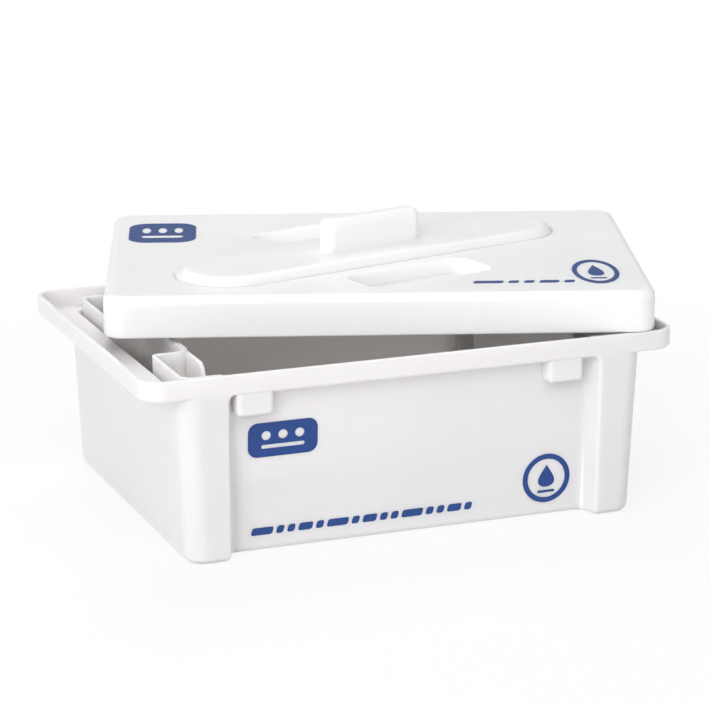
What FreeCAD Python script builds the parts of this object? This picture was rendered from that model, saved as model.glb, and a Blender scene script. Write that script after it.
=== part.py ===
"""Instrument disinfection tub: a tub with a raised lip, a lift-out sieve insert, and a lid lying askew on the lip.

Millimetres. The origin is the middle of the tub's underside, +X runs along the long sides, -Y is the front
with the recessed panel that faces the viewer, and +Z is up. The lid is drawn as it rests, turned on the lip.
"""
import os

import FreeCAD, Part

from FreeCAD import Rotation, Vector

# Tub: rim
rim_length = 320.0
rim_width = 221.5
rim_corner_radius = 13.5
tub_height = 107.4
lip_height = 9.8
lip_thickness = 2.4
lip_edge_radius = 0.8
lip_foot_radius = 2.5
ledge_thickness = 2.0
rim_edge_radius = 2.3
mouth_radius = 2.0

# Tub: body below the rim
body_length_top = 278.1
body_length_bottom = 269.3
body_width_bottom = 217.5
body_corner_radius = 11.5
base_edge_radius = 4.5
wall = 2.0
floor_thickness = 2.6
cavity_corner_radius = 10.0
cavity_floor_radius = 5.0
column_pocket_radius = 2.0

# Tub: recess in each long side, between the corner columns
recess_depth_top = 9.8
recess_depth_bottom = 12.4
recess_length_front = 223.0
recess_length_panel = 216.0
recess_corner_radius = 5.6
recess_root_radius = 5.0
column_edge_radius = 2.2

# Tub: lugs under the rim of each long side, placed as seen from the front
lug_width = 21.6
lug_drop = 13.2
lug_setback = 1.0
lug_edge_radius = 3.0
lug_wall = 2.0
left_lug_place = -95.7
right_lug_place = 90.6

# Sieve insert
insert_height = 101.6
insert_rest_gap = 0.3
insert_wall = 2.3
insert_floor = 2.2
insert_foot_height = 5.0
insert_foot_radius = 5.0
insert_foot_inset = 24.0
insert_end_gap_top = 2.1
insert_end_gap_bottom = 1.6
insert_side_gap = 0.6
insert_corner_radius = 8.0
insert_floor_edge_radius = 3.0
side_wall_height = 36.0
side_drop_inset = 0.4
side_drop_radius = 9.0
finger_gap_width = 84.8
finger_gap_depth = 21.5
finger_gap_radius = 7.0
finger_gap_mouth_radius = 5.5
fin_overhang = 27.6
fin_corner_radius = 8.0
fin_drop = 1.2
grip_bead_height = 5.2
grip_bead_depth = 1.4
slot_length = 17.0
slot_width = 5.0
slot_pitch_along = 23.0
slot_pitch_across = 13.0
slot_margin = 8.0
side_slot_rise = 10.0
side_slot_pitch = 11.0

# Lid
lid_height = 23.9
lid_wall = 2.4
lid_side_clearance = 0.3
lid_corner_ease = 1.6
lid_top_radius = 4.7
lid_foot_radius = 0.9
lid_inner_radius = 2.6
lid_turn = -18.74
lid_offset_x = 30.5
lid_offset_y = 38.5
lid_rest_gap = 0.3

# Diagonal handle, and its seat in the lid
handle_angle = 32.3
handle_shift_along = -2.6
handle_shift_across = -0.9
handle_length = 261.4
handle_width = 62.4
handle_rise = 4.7
handle_bevel = 5.2
handle_ridge_radius = 6.0
handle_seat_depth = 2.6
handle_seat_gap = 0.2
handle_step = 0.3
grip_length = 67.3
grip_thickness = 13.2
grip_height = 19.4
grip_corner_radius = 5.0
grip_top_radius = 4.4
grip_root_radius = 2.6
clip_width = 9.0
clip_thickness = 2.0
clip_hook = 1.4
clip_hook_height = 2.2
clip_play = 0.3
clip_place_along = 78.0
clip_place_across = 21.0

# Finger scoops in the lid, beside the grip
scoop_length = 86.0
scoop_lead = 6.0
scoop_inner_edge = 41.5
scoop_width = 37.0
scoop_depth = 9.0
scoop_ramp = 6.0
scoop_corner_radius = 10.0

# Levels and half sizes that follow from the sizes above
ledge_level = tub_height - lip_height
rim_underside = ledge_level - ledge_thickness
half_rim_width = rim_width / 2
panel_half_top = half_rim_width - recess_depth_top
panel_half_bottom = body_width_bottom / 2 - recess_depth_bottom
mouth_length = body_length_top - 2 * wall
mouth_width = 2 * (panel_half_top - wall)
cavity_length_bottom = body_length_bottom - 2 * wall
cavity_width_bottom = 2 * (panel_half_bottom - wall)
above = 5.0


def outline(length, width, radius, z, centre=(0.0, 0.0)):
    """Closed wire of a rectangle with round corners, lying flat at height z."""
    a, b = length / 2 - radius, width / 2 - radius
    arcs = []
    for x, y, turn in ((a, b, 0), (-a, b, 90), (-a, -b, 180), (a, -b, 270)):
        middle = Vector(centre[0] + x, centre[1] + y, z)
        spokes = [Rotation(Vector(0, 0, 1), turn + step).multVec(Vector(radius, 0, 0)) for step in (0, 45, 90)]
        arcs.append([middle + spoke for spoke in spokes])
    edges = []
    for arc, following in zip(arcs, arcs[1:] + arcs[:1]):
        edges.append(Part.Arc(*arc).toShape())
        if arc[2].distanceToPoint(following[0]) > 1e-6:
            edges.append(Part.LineSegment(arc[2], following[0]).toShape())
    return Part.Wire(edges)


def plate(length, width, radius, low, high, centre=(0.0, 0.0)):
    """Upright block with round vertical corners."""
    return Part.Face(outline(length, width, radius, low, centre)).extrude(Vector(0, 0, high - low))


def block(low, high):
    """Box between two opposite corners."""
    return Part.makeBox(high[0] - low[0], high[1] - low[1], high[2] - low[2], Vector(*low))


def prism(points, direction):
    """Solid swept from a flat polygon along a direction."""
    corners = [Vector(*point) for point in points]
    return Part.Face(Part.makePolygon(corners + corners[:1])).extrude(Vector(*direction))


def rounded(shape, radius, test):
    """The shape with each edge whose bounding box passes the test rounded."""
    return shape.makeFillet(radius, [edge for edge in shape.Edges if test(edge.BoundBox)])


def level(z):
    """Test for an edge that lies flat at height z."""
    return lambda b: abs(b.ZMin - z) < 0.01 and abs(b.ZMax - z) < 0.01


def taper(bottom, top, radius, low, high):
    """Block with drafted walls between two rectangles, each a length and a width, and round corners."""
    reach = max(bottom + top)

    def sides(below, over):
        return ((-below / 2, low), (below / 2, low), (over / 2, high), (-over / 2, high))

    along = prism([(x, -reach, z) for x, z in sides(bottom[0], top[0])], (0, 2 * reach, 0))
    across = prism([(-reach, y, z) for y, z in sides(bottom[1], top[1])], (2 * reach, 0, 0))
    return rounded(along.common(across), radius, lambda b: b.ZLength > high - low - 0.01)


def upright(shape, turn=0.0):
    """Stands a solid drawn on the XY plane up so that its Y becomes Z and its height runs along -Y."""
    standing = shape.copy()
    standing.rotate(Vector(0, 0, 0), Vector(1, 0, 0), 90)
    standing.rotate(Vector(0, 0, 0), Vector(0, 0, 1), turn)
    return standing


def both_ends(shape):
    """The shape and its copy turned by half a turn about the vertical axis."""
    copy = shape.copy()
    copy.rotate(Vector(0, 0, 0), Vector(0, 0, 1), 180)
    return [shape, copy]


def four_corners(shape):
    """The shape and its mirror images in the two upright middle planes."""
    pair = [shape, shape.mirror(Vector(0, 0, 0), Vector(0, 1, 0))]
    return pair + [piece.mirror(Vector(0, 0, 0), Vector(1, 0, 0)) for piece in pair]


def recess():
    """Space in front of the front panel: splayed sides, a panel with draft, and round upper corners."""
    low, high = -above, rim_underside + rim_edge_radius / 2
    front = -half_rim_width - above
    half_panel = recess_length_panel / 2
    splay = (recess_length_front - recess_length_panel) / 2 / recess_depth_top
    half_front = recess_length_front / 2 + splay * above
    back = -panel_half_bottom + above
    half_back = half_panel - splay * (back + panel_half_top)
    draft = (panel_half_top - panel_half_bottom) / rim_underside
    plan = prism([(-half_front, front, low), (half_front, front, low),
                  (half_back, back, low), (-half_back, back, low)], (0, 0, high - low))
    section = prism([(-half_front, front, low), (-half_front, -panel_half_bottom - draft * low, low),
                     (-half_front, -panel_half_bottom - draft * high, high), (-half_front, front, high)],
                    (2 * half_front, 0, 0))
    space = rounded(plan.common(section), recess_corner_radius,
                    lambda b: level(high)(b) and b.YLength > above and b.XLength < half_panel)
    return rounded(space, recess_root_radius, lambda b: b.ZLength > rim_underside / 2 and b.YMin > front + 1)


def column_pocket():
    """Hollow inside one corner column, open at the bottom."""
    inner = recess_length_front / 2 + wall
    inset = taper((body_length_bottom - 2 * wall, body_width_bottom - 2 * wall),
                  (body_length_top - 2 * wall, rim_width - 2 * wall), body_corner_radius - wall,
                  0, rim_underside)
    corner = block((inner, panel_half_top, 0), (body_length_top, half_rim_width, rim_underside))
    return rounded(inset.common(corner), column_pocket_radius,
                   lambda b: b.ZLength > rim_underside - 1 and b.XLength < 0.01 and b.YLength < 0.01)


def lug(place):
    """Round-edged block under the front rim, with the hollow that opens at its bottom."""
    half = lug_width / 2
    front = -half_rim_width + lug_setback
    bottom = rim_underside - lug_drop
    top = rim_underside + rim_edge_radius
    solid = block((place - half, front, bottom), (place + half, -panel_half_bottom, top))
    solid = rounded(solid, lug_edge_radius,
                    lambda b: b.YMin < front + 0.01 and b.ZMin < top - 0.01 or level(bottom)(b) and b.XLength < 0.01)
    hollow = block((place - half + lug_wall, front + lug_wall, bottom - 1),
                   (place + half - lug_wall, -panel_half_top, rim_underside - lug_wall))
    return solid, hollow


def make_tub():
    rim = plate(rim_length, rim_width, rim_corner_radius, rim_underside, tub_height)
    rim = rounded(rim, rim_edge_radius, level(rim_underside))
    rim = rounded(rim, lip_edge_radius, level(tub_height))
    body = taper((body_length_bottom, body_width_bottom), (body_length_top, rim_width), body_corner_radius,
                 0, rim_underside + rim_edge_radius)
    body = body.cut(both_ends(recess()))
    body = rounded(body, column_edge_radius, column_edge_test())
    body = rounded(body, base_edge_radius, level(0))
    lugs = [lug(place) for place in (left_lug_place, right_lug_place)]
    solids = [copy for solid, hollow in lugs for copy in both_ends(solid)]
    hollows = [copy for solid, hollow in lugs for copy in both_ends(hollow)]
    cavity = taper((cavity_length_bottom, cavity_width_bottom), (mouth_length, mouth_width),
                   cavity_corner_radius, floor_thickness, ledge_level)
    cavity = rounded(cavity, cavity_floor_radius, level(floor_thickness))
    seat = plate(rim_length - 2 * lip_thickness, rim_width - 2 * lip_thickness,
                 rim_corner_radius - lip_thickness, ledge_level, tub_height + above)
    seat = rounded(seat, lip_foot_radius, level(ledge_level))
    tub = rim.fuse([body] + solids).cut([cavity, seat] + four_corners(column_pocket()) + hollows)
    return rounded(tub.removeSplitter(), mouth_radius, mouth_test())


def column_edge_test():
    """Test for the upright edges where the columns turn into the recesses."""
    return lambda b: b.ZLength > rim_underside / 2 and min(abs(b.YMin), abs(b.YMax)) > panel_half_top + 1 \
        and max(abs(b.XMin), abs(b.XMax)) < recess_length_front / 2 + 1


def mouth_test():
    """Test for the edges where the ledge turns down into the tub."""
    return lambda b: level(ledge_level)(b) and max(abs(b.XMin), abs(b.XMax)) < mouth_length / 2 + 0.01 \
        and max(abs(b.YMin), abs(b.YMax)) < mouth_width / 2 + 0.01


def slot(length, width, low, high, centre):
    """Cutter for one round-ended slot."""
    return plate(length, width, width / 2, low, high, centre)


def places(span, pitch):
    """Evenly spaced places that fit in a span, centred on zero."""
    count = int(span / pitch + 0.5)
    return [(k - (count - 1) / 2) * pitch for k in range(count)]


def make_insert():
    base = floor_thickness + insert_rest_gap
    low, high = base + insert_foot_height, base + insert_height
    half_end_top = mouth_length / 2 - insert_end_gap_top
    bottom = (cavity_length_bottom - 2 * insert_end_gap_bottom, cavity_width_bottom - 2 * insert_side_gap)
    top = (2 * half_end_top, mouth_width - 2 * insert_side_gap)
    grip_face = half_end_top - finger_gap_depth
    reach = 2 * finger_gap_depth

    def gap_tool(offset):
        return plate(reach + 2 * offset, finger_gap_width + 2 * offset, finger_gap_radius + offset,
                     0, high + above, (grip_face + reach / 2, 0.0))

    def mouth_edges(offset):
        return lambda b: b.ZLength > insert_height / 2 and b.YLength < 0.01 \
            and abs(abs(b.YMin) - finger_gap_width / 2 - offset) < 0.01 \
            and min(abs(b.XMin), abs(b.XMax)) > min(bottom[0], top[0]) / 2 - offset - 0.01

    outer = taper(bottom, top, insert_corner_radius, low, high).cut(both_ends(gap_tool(0.0)))
    outer = rounded(outer, finger_gap_mouth_radius, mouth_edges(0.0))
    outer = rounded(outer, insert_floor_edge_radius, level(low))
    inner = taper([size - 2 * insert_wall for size in bottom], [size - 2 * insert_wall for size in top],
                  insert_corner_radius - insert_wall, low + insert_floor, high)
    basket_space = inner.cut(both_ends(gap_tool(insert_wall)))
    basket_space = rounded(basket_space, finger_gap_mouth_radius - insert_wall, mouth_edges(insert_wall))
    shell = outer.cut(basket_space)

    fin_width = finger_gap_width + 2 * fin_overhang
    fin_plate = upright(plate(fin_width, 2 * high, fin_corner_radius, 0, insert_wall), 90)
    fin_plate.translate(Vector(grip_face - insert_wall, 0, -fin_drop))
    fins = [fin.common(inner) for fin in both_ends(fin_plate)]
    bead = block((grip_face, -finger_gap_width / 2, high - grip_bead_height),
                 (grip_face + grip_bead_depth, finger_gap_width / 2, high))
    feet = [Part.makeCylinder(insert_foot_radius, insert_foot_height + insert_floor / 2,
                              Vector(bottom[0] / 2 - insert_foot_inset, bottom[1] / 2 - insert_foot_inset, base))]
    feet = four_corners(feet[0])
    insert = shell.fuse(fins + both_ends(bead) + feet).removeSplitter()

    drop_half = grip_face - insert_wall - side_drop_inset
    drop_low = low + side_wall_height
    drop = upright(plate(2 * drop_half, 2 * high, side_drop_radius, 0, 2 * mouth_width))
    drop.translate(Vector(0, mouth_width, drop_low + high))
    across = places(bottom[1] - 2 * (slot_margin + insert_foot_radius), slot_pitch_across)
    along = places(2 * (drop_half - slot_margin), slot_pitch_along)
    floor_slots = [slot(slot_length, slot_width, low - 1, low + insert_floor + 1, (x, y))
                   for x in along for y in across]
    side_slots = [upright(slot(slot_length, slot_width, 0, 2 * mouth_width, (x, low + side_slot_rise + row)))
                  for x in along for row in (0.0, side_slot_pitch)]
    for cutter in side_slots:
        cutter.translate(Vector(0, mouth_width, 0))
    return insert.cut([drop] + floor_slots + side_slots).removeSplitter()


def handle_place(shape):
    """Turns a solid drawn along the handle's own axes into the lid's place for it."""
    placed = shape.copy()
    placed.translate(Vector(handle_shift_along, handle_shift_across, 0))
    placed.rotate(Vector(0, 0, 0), Vector(0, 0, 1), handle_angle)
    return placed


def about_handle(shape):
    """Copies of a solid on both sides of the handle's middle, in the lid's place for them."""
    return [handle_place(copy) for copy in both_ends(shape)]


def scoop(offset):
    """Space of the front finger scoop, larger all round by an offset."""
    start = -scoop_length / 2 - scoop_lead
    end = scoop_length / 2 - scoop_lead
    bottom = lid_height - scoop_depth - offset
    middle = (-scoop_lead, -scoop_inner_edge - scoop_width / 2)
    plan = plate(scoop_length + 2 * offset, scoop_width + 2 * offset, scoop_corner_radius + offset,
                 bottom - 1, lid_height + above, middle)
    far = -scoop_inner_edge - scoop_width - 2 * offset
    section = prism([(start - 2 * offset, far, bottom), (end - scoop_ramp, far, bottom),
                     (end + offset, far, lid_height + 0.01), (end + offset, far, lid_height + above),
                     (start - 2 * offset, far, lid_height + above)], (0, scoop_width + 4 * offset, 0))
    return plan.common(section)


def clip_slot(play):
    """Space of one clip and its hook through the lid, with play all round."""
    middle = (clip_place_along, clip_place_across + clip_hook / 2)
    return plate(clip_width + 2 * play, clip_thickness + clip_hook + 2 * play, play + 0.2,
                 0, lid_height, middle)


def make_lid():
    length = rim_length - 2 * (lip_thickness + lid_side_clearance)
    width = rim_width - 2 * (lip_thickness + lid_side_clearance)
    radius = rim_corner_radius - lip_thickness - lid_side_clearance + lid_corner_ease
    shell = plate(length, width, radius, 0, lid_height)
    shell = rounded(shell, lid_top_radius, level(lid_height))
    shell = rounded(shell, lid_foot_radius, level(0))
    hollow = plate(length - 2 * lid_wall, width - 2 * lid_wall, radius - lid_wall, -above, lid_height - lid_wall)
    hollow = rounded(hollow, lid_inner_radius, level(lid_height - lid_wall))

    seat_length = handle_length + 2 * handle_seat_gap
    seat_width = handle_width + 2 * handle_seat_gap
    seat_level = lid_height - handle_seat_depth
    seat = plate(seat_length, seat_width, seat_width / 2, seat_level, lid_height + above)
    seat_pad = plate(seat_length + 2 * lid_wall, seat_width + 2 * lid_wall, seat_width / 2 + lid_wall,
                     seat_level - lid_wall, lid_height)
    pads = [handle_place(seat_pad)] + about_handle(scoop(lid_wall))
    slots = [handle_place(copy) for copy in four_corners(clip_slot(clip_play))]
    return shell.cut(hollow.cut(pads)).cut([handle_place(seat)] + about_handle(scoop(0.0)) + slots)


def make_handle():
    seat_level = lid_height - handle_seat_depth
    top_level = lid_height + handle_rise
    bar = plate(handle_length, handle_width, handle_width / 2, seat_level, top_level)
    shoulder = [edge for edge in bar.Edges if level(top_level)(edge.BoundBox)]
    bar = bar.makeChamfer(handle_rise - handle_step, handle_bevel, shoulder)
    bar = rounded(bar, handle_ridge_radius, level(top_level))
    grip = plate(grip_length, grip_thickness, grip_corner_radius, top_level - 1, top_level + grip_height)
    grip = rounded(grip, grip_top_radius, level(top_level + grip_height))
    bar = bar.fuse(grip).removeSplitter()
    root = lambda b: level(top_level)(b) and b.XMax < grip_length / 2 + 1 and b.XMin > -grip_length / 2 - 1 \
        and b.YMax < grip_thickness
    bar = rounded(bar, grip_root_radius, root)

    half = clip_width / 2
    hook_top = seat_level - lid_wall - clip_play
    leg = block((clip_place_along - half, clip_place_across - clip_thickness / 2, hook_top - clip_hook_height),
                (clip_place_along + half, clip_place_across + clip_thickness / 2, seat_level))
    face = clip_place_across + clip_thickness / 2
    hook = prism([(clip_place_along - half, face, hook_top), (clip_place_along - half, face + clip_hook, hook_top),
                  (clip_place_along - half, face, hook_top - clip_hook_height)], (clip_width, 0, 0))
    return handle_place(bar.fuse(four_corners(leg.fuse(hook))).removeSplitter())


def on_lip(shape):
    """A piece of the lid, moved from the lid's own frame to where the lid lies on the tub's lip."""
    placed = shape.copy()
    placed.rotate(Vector(0, 0, 0), Vector(0, 0, 1), lid_turn)
    placed.translate(Vector(lid_offset_x, lid_offset_y, tub_height + lid_rest_gap))
    return placed


def main():
    os.makedirs("parts", exist_ok=True)
    pieces = {
        "tub": make_tub(),
        "sieve_insert": make_insert(),
        "lid": on_lip(make_lid()),
        "lid_handle": on_lip(make_handle()),
    }
    for name, shape in pieces.items():
        print(name, "solids", len(shape.Solids), "valid", shape.isValid(), "volume", round(shape.Volume))
        shape.exportStep(os.path.join("parts", name + ".step"))


main()
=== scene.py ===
"""Looks of the instrument disinfection tub: plastics, printed marks, stage and camera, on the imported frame.

Metres, in the frame of the model: +X along the tub's long sides, -Y towards the viewer, +Z up.
"""

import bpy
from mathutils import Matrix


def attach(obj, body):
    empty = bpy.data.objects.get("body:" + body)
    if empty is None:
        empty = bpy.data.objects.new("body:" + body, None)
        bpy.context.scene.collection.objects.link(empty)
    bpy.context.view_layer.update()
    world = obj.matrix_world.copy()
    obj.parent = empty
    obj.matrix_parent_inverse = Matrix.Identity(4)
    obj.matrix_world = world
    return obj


bl_info = {
    "name": "Instrument disinfection tub",
    "version": (1, 0, 0),
    "blender": (4, 5, 0),
    "location": "View3D > Sidebar > Tub",
    "description": "Dresses the disinfection tub with its plastics and printed marks and sets the stage",
    "category": "Object",
}

from itertools import cycle
from math import cos, pi, radians, sin

import bpy
from bpy.props import FloatProperty, FloatVectorProperty, PointerProperty
from mathutils import Matrix, Vector

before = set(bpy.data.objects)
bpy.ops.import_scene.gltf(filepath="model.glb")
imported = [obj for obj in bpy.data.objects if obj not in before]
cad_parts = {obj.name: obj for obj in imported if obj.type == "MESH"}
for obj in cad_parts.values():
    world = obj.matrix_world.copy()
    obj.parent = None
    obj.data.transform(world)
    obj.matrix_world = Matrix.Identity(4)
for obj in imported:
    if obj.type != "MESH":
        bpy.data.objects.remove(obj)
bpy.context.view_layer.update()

MM = 0.001

# Where the painted warm light inside the tub ends: at the walls, and between two levels under the brim. It is
# painted light, a brighter, warmer tone that lifts the shade inside the cavity.
INSIDE_HALF_LENGTH = 136.9 * MM
INSIDE_HALF_WIDTH = 98.9 * MM
INSIDE_FADE = 1.0 * MM
PALE_LEVEL = 98.0 * MM
WARM_LEVEL = 84.0 * MM

# How far light of each colour spreads in the plastic
LIGHT_REACH = (0.0033, 0.003, 0.0029)

# Surfaces that carry prints: the middle line of the front panel, and the middle of the lid's top
PANEL_TOP = Vector((0, -100.95, 95.6)) * MM
PANEL_FOOT = Vector((0, -96.35, 0)) * MM
LID_TOP = Vector((30.5, 38.5, 131.6)) * MM
LID_TURN = radians(-18.74)

# Lamps of the stage: their places, and the size and aim that all of them have
LAMP_PLACES = {
    "front": (-1.95, -2.03, 1.08),
    "high": (-0.69, -1.8, 2.35),
    "back": (0.3, 1.7, 2.5),
    "right": (2.23, -1.56, 1.32),
    "side": (-2.7, -0.24, 1.32),
}
LAMP_SIZE = 1.6
LAMP_AIM = (0, 0, 0.05)

# Floor of the stage: its radius, its place just under the tub, and how it turns to white away from the shade
FLOOR_RADIUS = 4.0
FLOOR_LEVEL = -0.0002
SHADE_END = 0.22
WHITE_START = 0.6
WHITE_IN_SHADE = 0.83


class Value:
    """A number in a shader: each operator adds the Math node for it."""

    def __init__(self, paint, socket):
        self.paint = paint
        self.socket = socket

    def math(self, operation, other=0.0):
        return self.paint.node("ShaderNodeMath", {"operation": operation}, {0: self, 1: other})

    def __add__(self, other):
        return self.math("ADD", other)

    def __mul__(self, other):
        return self.math("MULTIPLY", other)

    def smooth(self, low, high):
        """0 at low, 1 at high, and a smooth step between them."""
        return self.paint.node("ShaderNodeMapRange", {"interpolation_type": "SMOOTHSTEP"},
                               {"Value": self, "From Min": low, "From Max": high})


class Paint:
    """A material or a world being written: adds nodes and links them."""

    def __init__(self, owner):
        owner.use_nodes = True
        self.owner = owner
        self.nodes = owner.node_tree.nodes
        self.links = owner.node_tree.links
        self.nodes.clear()

    def node(self, kind, settings=None, sockets=None, out=0):
        """Adds a node, its settings first, then its sockets' values or links, and gives one output."""
        node = self.nodes.new(kind)
        for key, value in (settings or {}).items():
            setattr(node, key, value)
        for key, value in (sockets or {}).items():
            if isinstance(value, Value):
                self.links.new(value.socket, node.inputs[key])
            else:
                node.inputs[key].default_value = value
        return Value(self, node.outputs[out])

    def place(self):
        """Position in the object's own space, which is the model's frame."""
        return self.node("ShaderNodeTexCoord", out="Object")

    def along(self, axis):
        """One coordinate of the place, in metres."""
        return self.node("ShaderNodeSeparateXYZ", {}, {0: self.place()}, axis)

    def noise(self, scale, detail=3.0, stretch=(1.0, 1.0, 1.0)):
        """Noise from 0 to 1, with its scale in cells per metre."""
        at = self.node("ShaderNodeMapping", {}, {"Vector": self.place(), "Scale": stretch})
        return self.node("ShaderNodeTexNoise", {},
                         {"Vector": at, "Scale": scale, "Detail": detail, "Roughness": 0.55})

    def blend(self, factor, first, second):
        """Mix of two colours."""
        return self.node("ShaderNodeMix", {"data_type": "RGBA"}, {0: factor, 6: first, 7: second}, 2)

    def bump(self, distance, height):
        """Normal of a surface whose height varies by a distance."""
        return self.node("ShaderNodeBump", {}, {"Strength": 1.0, "Distance": distance, "Height": height})

    def ray(self, kind):
        """1 for rays of one kind."""
        return self.node("ShaderNodeLightPath", out=f"Is {kind} Ray")

    def finish(self, **sockets):
        """Ends the material in a Principled shader with these sockets, underscores for spaces."""
        self.end(self.node("ShaderNodeBsdfPrincipled", {},
                           {key.replace("_", " "): value for key, value in sockets.items()}))
        return self.owner

    def end(self, shader, kind="ShaderNodeOutputMaterial"):
        """Links a shader to the output node."""
        self.links.new(shader.socket, self.nodes.new(kind).inputs["Surface"])


def new_paint(name):
    """Paint for a new material."""
    return Paint(bpy.data.materials.new(name))


def scaled(colour, share, lift=0.0):
    """Opaque colour with its channels multiplied and lifted, up to 1."""
    return tuple(min(1.0, channel * share + lift) for channel in colour[:3]) + (1.0,)


class TubPlastics(bpy.types.PropertyGroup):
    tub_colour: FloatVectorProperty(name="Tub colour", description="Colour of the tub's plastic",
                                    subtype="COLOR", size=4, default=(0.80, 0.785, 0.795, 1), min=0, max=1)
    insert_colour: FloatVectorProperty(name="Insert colour", description="Colour of the sieve insert's plastic",
                                       subtype="COLOR", size=4, default=(0.84, 0.83, 0.835, 1), min=0, max=1)
    lid_colour: FloatVectorProperty(name="Lid colour", description="Colour of the plastic of lid and handle",
                                    subtype="COLOR", size=4, default=(0.925, 0.91, 0.92, 1), min=0, max=1)
    # Painted light: a brighter, warmer tone that stands in for the light lifting the shade inside the tub's cavity
    inside_painted_light: FloatVectorProperty(name="Inside", description="Warm tone of the plastic deep inside the tub",
                                       subtype="COLOR", size=4, default=(0.96, 0.915, 0.89, 1), min=0, max=1)
    grain: FloatProperty(name="Grain", description="Height of the fine moulded grain", subtype="DISTANCE",
                         default=0.00002, min=0, max=0.001, precision=6)
    roughness: FloatProperty(name="Roughness", description="Mean roughness of the plastic", subtype="FACTOR",
                             default=0.38, min=0, max=1)
    translucency: FloatProperty(name="Translucency", description="Share of the light that goes through the plastic",
                                subtype="FACTOR", default=1.0, min=0, max=1)


class TubPrints(bpy.types.PropertyGroup):
    ink_colour: FloatVectorProperty(name="Ink", description="Colour of the printed marks",
                                    subtype="COLOR", size=4, default=(0.004, 0.045, 0.22, 1), min=0, max=1)
    thickness: FloatProperty(name="Thickness", description="Thickness of the ink film", subtype="DISTANCE",
                             default=0.00006, min=0.00001, max=0.001, precision=6)


class TubStage(bpy.types.PropertyGroup):
    azimuth: FloatProperty(name="Azimuth", description="Camera's turn round the tub, from the front",
                           subtype="ANGLE", default=radians(-21.19))
    elevation: FloatProperty(name="Elevation", description="Camera's height above the horizon",
                             subtype="ANGLE", default=radians(15.3))
    roll: FloatProperty(name="Roll", description="Camera's turn about its own axis", subtype="ANGLE",
                        default=radians(-0.12))
    distance: FloatProperty(name="Distance", description="From the camera to the plane through the origin",
                            subtype="DISTANCE", default=1.80452, min=0.1)
    shift_right: FloatProperty(name="Right", description="Camera's place to the right of the axis",
                               subtype="DISTANCE", default=0.00386)
    shift_up: FloatProperty(name="Up", description="Camera's place above the axis", subtype="DISTANCE",
                            default=0.07812)
    drop: FloatProperty(name="Drop", description="Lowering of the axis below the origin", subtype="DISTANCE",
                        default=0.00094)
    lens: FloatProperty(name="Lens", description="Focal length in millimetres", unit="CAMERA", default=153.76,
                        min=1)
    world_light: FloatProperty(name="World light", description="Strength of the even light", subtype="UNSIGNED",
                               default=0.33, min=0)
    front_light: FloatProperty(name="Front light", description="Power of the low front lamp in watts",
                               unit="POWER", default=40.0, min=0)
    high_light: FloatProperty(name="High light", description="Power of the high front lamp in watts",
                              unit="POWER", default=22.5, min=0)
    back_light: FloatProperty(name="Back light", description="Power of the lamp behind in watts",
                              unit="POWER", default=33.0, min=0)
    side_light: FloatProperty(name="Side light", description="Power of the lamp on the left in watts",
                              unit="POWER", default=12.5, min=0)
    right_light: FloatProperty(name="Right light", description="Power of the lamp on the right in watts",
                               unit="POWER", default=10.5, min=0)
    floor_colour: FloatVectorProperty(name="Floor", description="Colour of the floor", subtype="COLOR", size=4,
                                      default=(0.9, 0.9, 0.9, 1), min=0, max=1)


def inside_light_mask(paint, walls_face_in):
    """Mask of the painted warm light: 1 on faces deep inside the tub's cavity, 0 outside it and at its brim."""
    near_end = paint.along(0).math("ABSOLUTE").smooth(INSIDE_HALF_LENGTH + INSIDE_FADE, INSIDE_HALF_LENGTH)
    near_side = paint.along(1).math("ABSOLUTE").smooth(INSIDE_HALF_WIDTH + INSIDE_FADE, INSIDE_HALF_WIDTH)
    mask = near_end * near_side * paint.along(2).smooth(PALE_LEVEL, WARM_LEVEL)
    if walls_face_in:
        normal = paint.node("ShaderNodeTexCoord", out="Normal")
        outward = paint.node("ShaderNodeVectorMath", {"operation": "DOT_PRODUCT"}, {0: normal, 1: paint.place()},
                             "Value")
        mask = mask * outward.smooth(0.03, 0.0)
    return mask


def moulded(name, colour, values, grain=1.0, haze=0.0, paint_inside_light=False, walls_face_in=False):
    """Satin moulded polypropylene: faint clouding, fine grain, and rubbed and scuffed patches of gloss; where
    asked, painted warm light on the faces inside the tub's cavity, lifting the shade there.
    """
    paint = new_paint(name)
    clouds = paint.noise(9.0, 2.0).smooth(0.3, 0.75)
    specks = paint.noise(900.0, 2.0).smooth(0.62, 0.8)
    tint = paint.blend(clouds * 0.6 + specks * 0.25, tuple(colour), scaled(colour, 0.975))
    if paint_inside_light:
        # Painted light: a brighter, warmer tone laid where the inside of the tub lies in shade
        tint = paint.blend(inside_light_mask(paint, walls_face_in), tint, tuple(values.inside_painted_light))
    scuffs = paint.noise(60.0, 4.0, (1.0, 1.0, 7.0)).smooth(0.52, 0.72)
    rubbed = paint.noise(22.0, 3.0)
    roughness = rubbed * 0.14 + scuffs * 0.07 + (values.roughness - 0.07 + haze)
    texture = paint.noise(1600.0, 2.0) + paint.noise(240.0, 2.0) * 0.8
    return paint.finish(Base_Color=tint, Roughness=roughness, Normal=paint.bump(values.grain * grain, texture),
                        IOR=1.49, Specular_IOR_Level=0.45, Subsurface_Weight=values.translucency,
                        Subsurface_Radius=LIGHT_REACH, Subsurface_Scale=1.0)


def smooth_by_angle(node):
    """Smooth shading that keeps the moulding's sharp edges."""
    node.data.set_sharp_from_angle(angle=radians(32))
    for face in node.data.polygons:
        face.use_smooth = True


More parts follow.
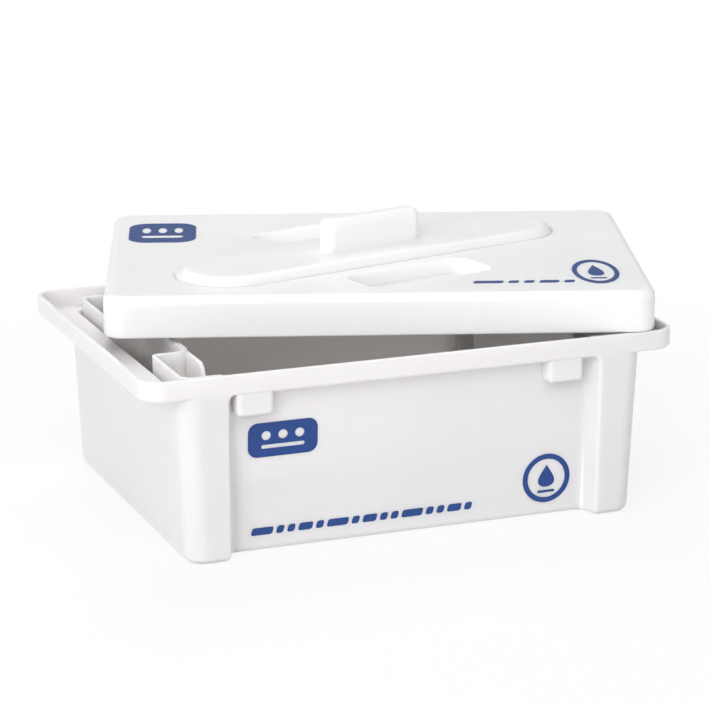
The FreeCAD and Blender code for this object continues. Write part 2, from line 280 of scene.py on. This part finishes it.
class OBJECT_OT_tub_plastics(bpy.types.Operator):
    """Gives the tub, insert, lid and handle their plastics"""
    bl_idname = "object.tub_plastics"
    bl_label = "Plastics"

    def execute(self, context):
        values = context.scene.tub_plastics
        finishes = {
            # Tub and insert get painted warm light on their faces inside the cavity
            "tub": moulded("tub_plastic", values.tub_colour, values, grain=1.3, haze=0.04, paint_inside_light=True,
                           walls_face_in=True),
            "sieve_insert": moulded("insert_plastic", values.insert_colour, values, haze=0.03, paint_inside_light=True),
            "lid": moulded("lid_plastic", values.lid_colour, values, grain=0.8),
            "lid_handle": moulded("handle_plastic", values.lid_colour, values, grain=0.8),
        }
        for name, material in finishes.items():
            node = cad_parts[name]
            node.data.materials.clear()
            node.data.materials.append(material)
            smooth_by_angle(node)
        return {"FINISHED"}


def rounded_bar(centre, length, height, radius, lean=0.0, steps=8):
    """Outline of a bar with round corners, leaning to the right."""
    points = []
    for turn, x, y in ((0, 1, 1), (90, -1, 1), (180, -1, -1), (270, 1, -1)):
        for step in range(steps + 1):
            angle = radians(turn + 90 * step / steps)
            px = x * (length / 2 - radius) + radius * cos(angle)
            py = y * (height / 2 - radius) + radius * sin(angle)
            points.append((centre[0] + px + lean * py, centre[1] + py))
    return points


def ellipse(centre, width, height, steps=64):
    """Outline of an ellipse."""
    return [(centre[0] + width / 2 * cos(2 * pi * k / steps), centre[1] + height / 2 * sin(2 * pi * k / steps))
            for k in range(steps)]


def drop(centre, width, height, steps=40):
    """Outline of a drop of liquid with its tip up."""
    points = []
    for k in range(steps):
        angle = 2 * pi * k / steps
        points.append((centre[0] + width / 2 * sin(angle) * sin(angle / 2) ** 1.6 * 1.18,
                       centre[1] + height / 2 * cos(angle)))
    return points


def tray_badge(width, height):
    """Badge: a filled rounded plate with three bare dots over a bare line."""
    loops = [rounded_bar((0, 0), width, height, min(width, height) * 0.28)]
    for k in (-1, 0, 1):
        loops.append(ellipse((k * width * 0.24, height * 0.12), width * 0.13, height * 0.26))
    loops.append(rounded_bar((0, -height * 0.2), width * 0.62, height * 0.11, height * 0.05))
    return loops


def drop_mark(width, height):
    """Mark: an oval ring round a drop that stands on a short line."""
    line = width * 0.105
    return [ellipse((0, 0), width, height),
            ellipse((0, 0), width - 2 * line, height - 2 * line * height / width),
            drop((0, height * 0.05), width * 0.42, height * 0.46),
            rounded_bar((0, -height * 0.27), width * 0.36, height * 0.05, height * 0.024)]


def dash_line(length, height):
    """Line of leaning dashes of three lengths, as many as fit."""
    loops = []
    x = -length / 2
    for share in cycle((3.2, 1.1, 1.1, 2.1, 1.1, 3.2, 1.1, 2.1, 1.1, 1.1)):
        dash = share * height * 0.9
        if x + dash > length / 2:
            return loops
        loops.append(rounded_bar((x + dash / 2, 0), dash, height, height * 0.3, 0.25, 4))
        x += dash + height * 0.5


def printed_ink(values):
    """Pad-printed ink: nearly even, with a slightly starved grain."""
    paint = new_paint("printed_ink")
    patches = paint.noise(700.0).smooth(0.45, 0.8)
    tint = paint.blend(patches * 0.6, tuple(values.ink_colour), scaled(values.ink_colour, 1.25, 0.004))
    return paint.finish(Base_Color=tint, Roughness=patches * 0.1 + 0.38,
                        Normal=paint.bump(0.000008, paint.noise(2500.0)))


def print_mark(name, loops, origin, right, up, body, ink, thickness):
    """Lays a flat printed mark on a surface, from closed outlines, nested ones cutting holes."""
    curve = bpy.data.curves.new(name, "CURVE")
    curve.dimensions = "2D"
    curve.fill_mode = "BOTH"
    curve.extrude = thickness / 2
    for loop in loops:
        spline = curve.splines.new("POLY")
        spline.points.add(len(loop) - 1)
        for point, (x, y) in zip(spline.points, loop):
            point.co = (x, y, 0, 1)
        spline.use_cyclic_u = True
    shape = bpy.data.objects.new(name + "_outline", curve)
    bpy.context.scene.collection.objects.link(shape)
    bpy.context.view_layer.update()
    mesh = bpy.data.meshes.new_from_object(shape.evaluated_get(bpy.context.evaluated_depsgraph_get()))
    bpy.data.objects.remove(shape)
    mesh.name = name
    out = right.cross(up)
    matrix = Matrix((right, up, out)).transposed().to_4x4()
    matrix.translation = origin + out * thickness * 0.5
    mesh.transform(matrix)
    mesh.materials.clear()
    mesh.materials.append(ink)
    mark = bpy.data.objects.new(name, mesh)
    bpy.context.scene.collection.objects.link(mark)
    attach(mark, body)


class OBJECT_OT_tub_prints(bpy.types.Operator):
    """Prints the marks on the tub's front panel and on the lid"""
    bl_idname = "object.tub_prints"
    bl_label = "Printed marks"

    def execute(self, context):
        values = context.scene.tub_prints
        ink = printed_ink(values)

        right = Vector((1, 0, 0))
        up = (PANEL_TOP - PANEL_FOOT).normalized()
        for name, loops, x, z in (
                ("panel_badge", tray_badge(41 * MM, 20 * MM), -76.7, 65.5),
                ("panel_mark", drop_mark(29.5 * MM, 29.5 * MM), 84.5, 22.8),
                ("panel_line", dash_line(139 * MM, 4.4 * MM), -25.3, 11.8)):
            place = PANEL_FOOT + up * (z * MM) + right * (x * MM)
            print_mark(name, loops, place, right, up, "tub", ink, values.thickness)

        turn = Matrix.Rotation(LID_TURN, 3, "Z")
        right, ahead = turn @ Vector((1, 0, 0)), turn @ Vector((0, 1, 0))
        for name, loops, x, y in (
                ("lid_badge", tray_badge(41 * MM, 52 * MM), -126.1, 54.2),
                ("lid_mark", drop_mark(27 * MM, 58 * MM), 127.6, -58.5),
                ("lid_line", dash_line(59 * MM, 6 * MM), 84.0, -81.0)):
            place = LID_TOP + turn @ Vector((x, y, 0)) * MM
            print_mark(name, loops, place, right, ahead, "lid", ink, values.thickness)
        return {"FINISHED"}


def stage_floor(values):
    """Pale floor, which the camera sees as white away from the shade, on a wide disc."""
    paint = new_paint("floor_paint")
    soft = paint.blend(paint.noise(3.0), tuple(values.floor_colour), scaled(values.floor_colour, 0.99))
    lit = paint.node("ShaderNodeBsdfDiffuse", {}, {"Color": soft})
    white = paint.node("ShaderNodeEmission", {}, {"Color": (1, 1, 1, 1), "Strength": 1.0})
    seen = paint.ray("Camera").math("MAXIMUM", paint.ray("Glossy")).math("MAXIMUM", paint.ray("Transmission"))
    distance = paint.node("ShaderNodeVectorMath", {"operation": "LENGTH"}, {0: paint.place()}, "Value")
    whiteness = distance.smooth(SHADE_END, WHITE_START) * (1 - WHITE_IN_SHADE) + WHITE_IN_SHADE
    paint.end(paint.node("ShaderNodeMixShader", {}, {0: seen * whiteness, 1: lit, 2: white}))
    bpy.ops.mesh.primitive_circle_add(vertices=96, radius=FLOOR_RADIUS, fill_type="NGON",
                                      location=(0, 0, FLOOR_LEVEL))
    floor = bpy.context.object
    floor.name = "floor"
    floor.data.materials.append(paint.owner)


def lamp(name, place, power):
    """Square soft lamp that faces the tub."""
    light = bpy.data.lights.new(name, "AREA")
    light.size = LAMP_SIZE
    light.energy = power
    holder = bpy.data.objects.new(name, light)
    holder.location = place
    holder.rotation_euler = (Vector(LAMP_AIM) - Vector(place)).to_track_quat("-Z", "Y").to_euler()
    bpy.context.scene.collection.objects.link(holder)


def even_world(strength):
    """Even light all round, seen as plain white."""
    world = bpy.data.worlds.new("even_light")
    paint = Paint(world)
    seen = paint.ray("Camera").math("MAXIMUM", paint.ray("Transmission"))
    level = paint.node("ShaderNodeMapRange", {}, {"Value": seen, "To Min": strength, "To Max": 1.0})
    light = paint.node("ShaderNodeBackground", {}, {"Color": (1, 1, 1, 1), "Strength": level})
    paint.end(light, "ShaderNodeOutputWorld")
    bpy.context.scene.world = world


def photo_camera(values):
    """Camera at the photograph's viewing angle."""
    azimuth, elevation = values.azimuth, values.elevation
    back = Vector((sin(azimuth) * cos(elevation), -cos(azimuth) * cos(elevation), sin(elevation)))
    level_right = Vector((0, 0, 1)).cross(back).normalized()
    level_up = back.cross(level_right)
    right = cos(values.roll) * level_right + sin(values.roll) * level_up
    up = cos(values.roll) * level_up - sin(values.roll) * level_right
    data = bpy.data.cameras.new("photo_camera")
    data.lens = values.lens
    data.sensor_width = 36.0
    data.clip_end = 50.0
    camera = bpy.data.objects.new("photo_camera", data)
    matrix = Matrix((right, up, back)).transposed().to_4x4()
    matrix.translation = (right * values.shift_right + up * values.shift_up + back * values.distance
                          - Vector((0, 0, values.drop)))
    camera.matrix_world = matrix
    bpy.context.scene.collection.objects.link(camera)
    bpy.context.scene.camera = camera


class OBJECT_OT_tub_stage(bpy.types.Operator):
    """Sets the floor, the lamps, the world and the camera"""
    bl_idname = "object.tub_stage"
    bl_label = "Stage"

    def execute(self, context):
        values = context.scene.tub_stage
        stage_floor(values)
        even_world(values.world_light)
        for name, place in LAMP_PLACES.items():
            lamp(name + "_lamp", place, getattr(values, name + "_light"))
        photo_camera(values)
        context.scene.view_settings.view_transform = "Standard"
        return {"FINISHED"}


class VIEW3D_PT_tub(bpy.types.Panel):
    """Values and steps of the tub"""
    bl_idname = "VIEW3D_PT_tub"
    bl_label = "Disinfection tub"
    bl_space_type = "VIEW_3D"
    bl_region_type = "UI"
    bl_category = "Tub"

    def draw(self, context):
        for group, step in (("tub_plastics", OBJECT_OT_tub_plastics), ("tub_prints", OBJECT_OT_tub_prints),
                            ("tub_stage", OBJECT_OT_tub_stage)):
            box = self.layout.box()
            values = getattr(context.scene, group)
            for name in type(values).__annotations__:
                box.prop(values, name)
            box.operator(step.bl_idname)


classes = (TubPlastics, TubPrints, TubStage, OBJECT_OT_tub_plastics, OBJECT_OT_tub_prints, OBJECT_OT_tub_stage,
           VIEW3D_PT_tub)


def register():
    for item in classes:
        bpy.utils.register_class(item)
    bpy.types.Scene.tub_plastics = PointerProperty(type=TubPlastics)
    bpy.types.Scene.tub_prints = PointerProperty(type=TubPrints)
    bpy.types.Scene.tub_stage = PointerProperty(type=TubStage)


def unregister():
    del bpy.types.Scene.tub_stage
    del bpy.types.Scene.tub_prints
    del bpy.types.Scene.tub_plastics
    for item in reversed(classes):
        bpy.utils.unregister_class(item)


def main():
    register()
    bpy.ops.object.tub_plastics()
    bpy.ops.object.tub_prints()
    bpy.ops.object.tub_stage()


if __name__ == "__main__":
    main()
